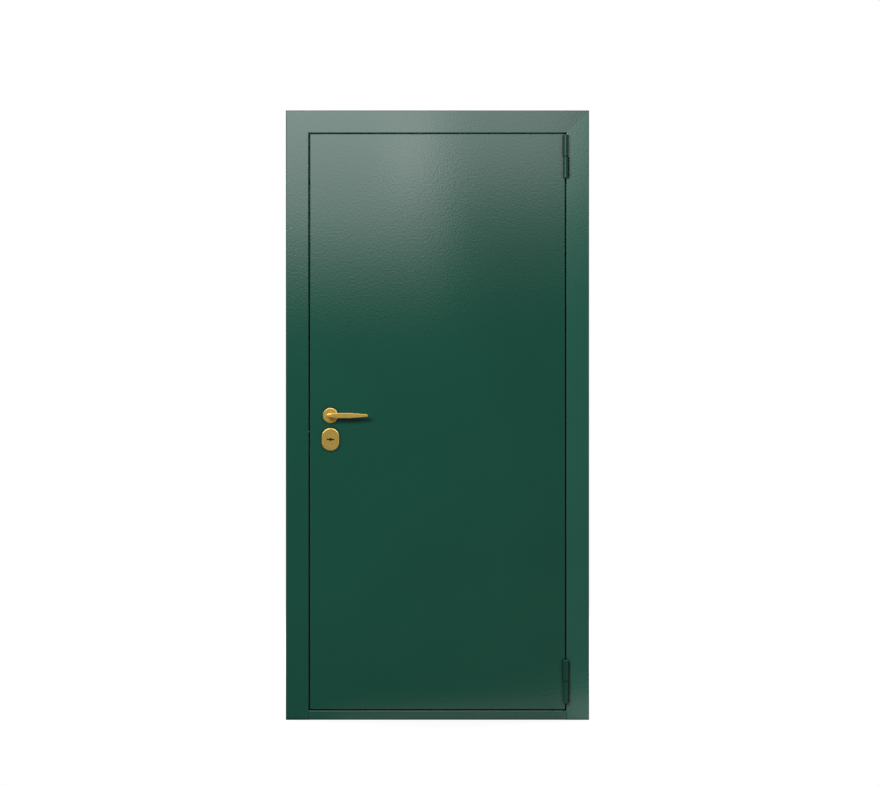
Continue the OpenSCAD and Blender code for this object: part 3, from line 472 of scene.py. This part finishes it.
def floor_material():
    """Pale floor: white where it is looked at, with the object's shadow near the door; reflections show
    a pool of light painted on it at the door's foot, as a glow."""
    material = bpy.data.materials.new("studio_floor")
    material.use_nodes = True
    tree = material.node_tree
    tree.nodes.clear()
    path = node(tree, "ShaderNodeLightPath").outputs
    place = node(tree, "ShaderNodeTexCoord").outputs["Object"]
    along = node(tree, "ShaderNodeSeparateXYZ", {0: place}).outputs
    shaded = node(tree, "ShaderNodeBsdfDiffuse", {"Color": scaled(PALE, FLOOR_SHARE)}).outputs[0]
    reach = node(tree, "ShaderNodeVectorMath", {0: place}, operation="LENGTH").outputs["Value"]
    glow = between(tree, reach, *GLOW_RAMP, GLOW_NEAR, GLOW_FAR)
    white = node(tree, "ShaderNodeEmission", {"Color": WHITE, "Strength": glow}).outputs[0]
    lit = node(tree, "ShaderNodeAddShader", {0: shaded, 1: white}).outputs[0]

    # Painted light: an emission that only reflections see, as a pool of light at the door's foot
    left = between(tree, along["X"], *POOL_LEFT, 0.0, POOL_LEVEL)
    corner = between(tree, along["X"], *POOL_CORNER, 0.0, POOL_CORNER_LEVEL)
    right = between(tree, along["X"], *POOL_RIGHT, 1.0, 0.0)
    across = maths(tree, "MULTIPLY_ADD", corner, right, left)
    slant = maths(tree, "MULTIPLY_ADD", along["X"], POOL_SLANT, along["Y"])
    front = between(tree, slant, *POOL_FRONT)
    back = between(tree, along["Y"], *POOL_BACK, 1.0, 0.0)
    level = maths(tree, "MULTIPLY_ADD", across, maths(tree, "MULTIPLY", front, back), FLAG)
    pool = node(tree, "ShaderNodeEmission", {"Color": WHITE, "Strength": level}).outputs[0]

    plain = shader_mix(tree, path["Is Camera Ray"], shaded, lit)
    surface = shader_mix(tree, path["Is Glossy Ray"], plain, pool)
    node(tree, "ShaderNodeOutputMaterial", {"Surface": surface})
    return material


def make_floor():
    """A flat floor under the door and behind it."""
    mesh = bpy.data.meshes.new("studio_floor")
    corners = [(-FLOOR_SIDE, -FLOOR_FRONT, 0), (FLOOR_SIDE, -FLOOR_FRONT, 0),
               (FLOOR_SIDE, FLOOR_BACK, 0), (-FLOOR_SIDE, FLOOR_BACK, 0)]
    mesh.from_pydata(corners, [], [(0, 1, 2, 3)])
    floor = bpy.data.objects.new("studio_floor", mesh)
    bpy.context.scene.collection.objects.link(floor)
    dress(floor, floor_material())


# Ramps of a direction's parts: up to the sky, from the camera's side to the sides, and to a pale strip
# low down on the hinge side
SKY_RAMP = (0.25, 0.5)
SIDE_RAMP = (-0.85, -0.55)
STRIP_DOWN = (-0.03, -0.09)
STRIP_ASIDE = (0.0, 0.045)
STRIP_LEVEL = 0.12


def make_world():
    """White where it is looked at, with the studio's flags, walls and sky in reflections, and an even soft
    light for the rest."""
    world = bpy.data.worlds.new("studio")
    bpy.context.scene.world = world
    world.use_nodes = True
    tree = world.node_tree
    tree.nodes.clear()
    path = node(tree, "ShaderNodeLightPath").outputs
    direction = node(tree, "ShaderNodeTexCoord").outputs["Generated"]
    along = node(tree, "ShaderNodeSeparateXYZ", {0: direction}).outputs
    walls = between(tree, along["Z"], *SKY_RAMP, SURROUND, SKY)
    beside = between(tree, along["Y"], *SIDE_RAMP)
    level = maths(tree, "MULTIPLY_ADD", walls, beside, FLAG)
    strip = between(tree, along["Z"], *STRIP_DOWN, 0.0, STRIP_LEVEL)
    aside = between(tree, along["X"], *STRIP_ASIDE)
    level = maths(tree, "MULTIPLY_ADD", strip, aside, level)

    def background(strength):
        return node(tree, "ShaderNodeBackground", {"Color": WHITE, "Strength": strength}).outputs[0]

    surface = shader_mix(tree, path["Is Glossy Ray"], background(AMBIENT), background(level))
    surface = shader_mix(tree, path["Is Camera Ray"], surface, background(1.0))
    node(tree, "ShaderNodeOutputWorld", {"Surface": surface})


def softbox(name, low, high, towards, radiance, stops=None):
    """A flat lamp between two corners of an upright rectangle at one depth, facing a direction. Its
    brightness may be graded over its height, with stops of height and share."""
    low, high = Vector(low), Vector(high)
    size = high - low
    lamp = bpy.data.lights.new(name, "AREA")
    lamp.shape = "RECTANGLE"
    lamp.size = size.x
    lamp.size_y = size.z
    lamp.energy = radiance * math.pi * size.x * size.z
    if stops:
        grade(lamp, [((z - low.z) / size.z, share) for z, share in stops])
    obj = bpy.data.objects.new(name, lamp)
    obj.location = (low + high) / 2
    obj.rotation_euler = Vector(towards).to_track_quat("-Z", "Y").to_euler()
    obj.visible_camera = False
    bpy.context.scene.collection.objects.link(obj)
    return obj


def grade(lamp, stops):
    """Grades a lamp over its height, from its lower edge at 0 to its upper edge at 1."""
    lamp.use_nodes = True
    tree = lamp.node_tree
    place = node(tree, "ShaderNodeNewGeometry").outputs["Parametric"]
    height = node(tree, "ShaderNodeSeparateXYZ", {0: place}).outputs["Y"]
    ramp = node(tree, "ShaderNodeValToRGB", {"Fac": height})
    elements = ramp.color_ramp.elements
    # New stops start in the middle, and then all get their places
    while len(elements) < len(stops):
        elements.new(0.5)
    for element, (position, share) in zip(elements, stops):
        element.position = position
        element.color = (share, share, share, 1)
    tree.links.new(ramp.outputs["Color"], tree.nodes["Emission"].inputs["Color"])


# Panels on the camera's side, which only show in reflections, as the pale upper half of the paint. They
# are side by side, and a small one in front of them makes the brightest patch
PANEL_Y = -2.2
PANEL_TOP = 2.9
PANEL_EDGES = (-1.3, 0.03, 0.58, 1.2)
LEFT_STOPS = [(1.42, 0.0), (1.64, 0.2), (1.84, 0.57), (2.3, 1.0)]
RIGHT_STOPS = [(1.48, 0.0), (1.7, 0.1), (1.84, 0.21), (2.1, 0.8), (2.3, 1.0)]
PANELS = {
    "panel_left": (3.6, LEFT_STOPS),
    "panel_right": (2.4, RIGHT_STOPS),
    "panel_side": (1.25, RIGHT_STOPS),
}
PATCH_Y = PANEL_Y + 0.02
PATCH_LOW = (-0.2, PATCH_Y, 1.94)
PATCH_HIGH = (-0.03, PATCH_Y, 2.2)
PATCH_RADIANCE = 1.0
# One panel behind the door lights its back and shows in it
BACK_PANEL_SIDE = 1.6
BACK_PANEL_BOTTOM = 1.7
BACK_PANEL_RADIANCE = 2.4
INWARDS = (0, 1, 0)
OUTWARDS = (0, -1, 0)


def make_panels():
    """The panels that the paint reflects."""
    front = []
    for (name, (radiance, stops)), left, right in zip(PANELS.items(), PANEL_EDGES, PANEL_EDGES[1:]):
        low = (left, PANEL_Y, stops[0][0])
        high = (right, PANEL_Y, PANEL_TOP)
        front.append(softbox(name, low, high, INWARDS, radiance, stops))
    front.append(softbox("panel_patch", PATCH_LOW, PATCH_HIGH, INWARDS, PATCH_RADIANCE))
    for panel in front:
        panel.visible_diffuse = False
    low = (-BACK_PANEL_SIDE, -PANEL_Y, BACK_PANEL_BOTTOM)
    high = (BACK_PANEL_SIDE, -PANEL_Y, PANEL_TOP)
    softbox("panel_behind", low, high, OUTWARDS, BACK_PANEL_RADIANCE)


def lamp_at(name, centre, edge, aim, radiance):
    """A square lamp that is aimed at a point of the door and doesn't show in reflections."""
    centre = Vector(centre)
    half = Vector((edge / 2, 0, edge / 2))
    lamp = softbox(name, centre - half, centre + half, Vector(aim) - centre, radiance)
    lamp.visible_glossy = False


def make_lamps():
    """A key lamp from the upper left, which casts the shadows, and fills from behind and both sides."""
    lamp_at("key", centre=(-1.45, -4.0, 2.25), edge=1.0, aim=(0, 0, 1.05), radiance=60.0)
    lamp_at("fill_behind", centre=(1.05, 5.0, 1.8), edge=0.5, aim=(0.1, 0, 1.1), radiance=125.0)
    for name, x in (("fill_left", -4.0), ("fill_right", 4.0)):
        lamp_at(name, centre=(x, 2.0, 1.7), edge=1.0, aim=(0, 0, 1.0), radiance=30.0)


# The photograph's frame: its width in pixels, one pixel on the casing's face in metres, and the point of
# the door that lies in the middle of the picture
PICTURE_W = 880
PIXEL = 3.428 * MM
AIM = Vector((8.7 * MM, 0.0, 1120.6 * MM))
CAMERA_DISTANCE = 11.3
SENSOR_W = 36.0
CLIP_END = 100.0


def make_camera():
    """A camera straight in front of the door, as far off as the photograph's flat view needs."""
    data = bpy.data.cameras.new("camera")
    data.sensor_width = SENSOR_W
    data.lens = SENSOR_W * CAMERA_DISTANCE / (PICTURE_W * PIXEL)
    data.clip_end = CLIP_END
    camera = bpy.data.objects.new("camera", data)
    casing_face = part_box("head_rail")[0].y
    camera.location = AIM + Vector((0, casing_face - CAMERA_DISTANCE, 0))
    camera.rotation_euler = (math.pi / 2, 0, 0)
    bpy.context.scene.collection.objects.link(camera)
    bpy.context.scene.camera = camera


make_floor()
make_world()
make_panels()
make_lamps()
make_camera()
bpy.context.scene.view_settings.view_transform = "Standard"
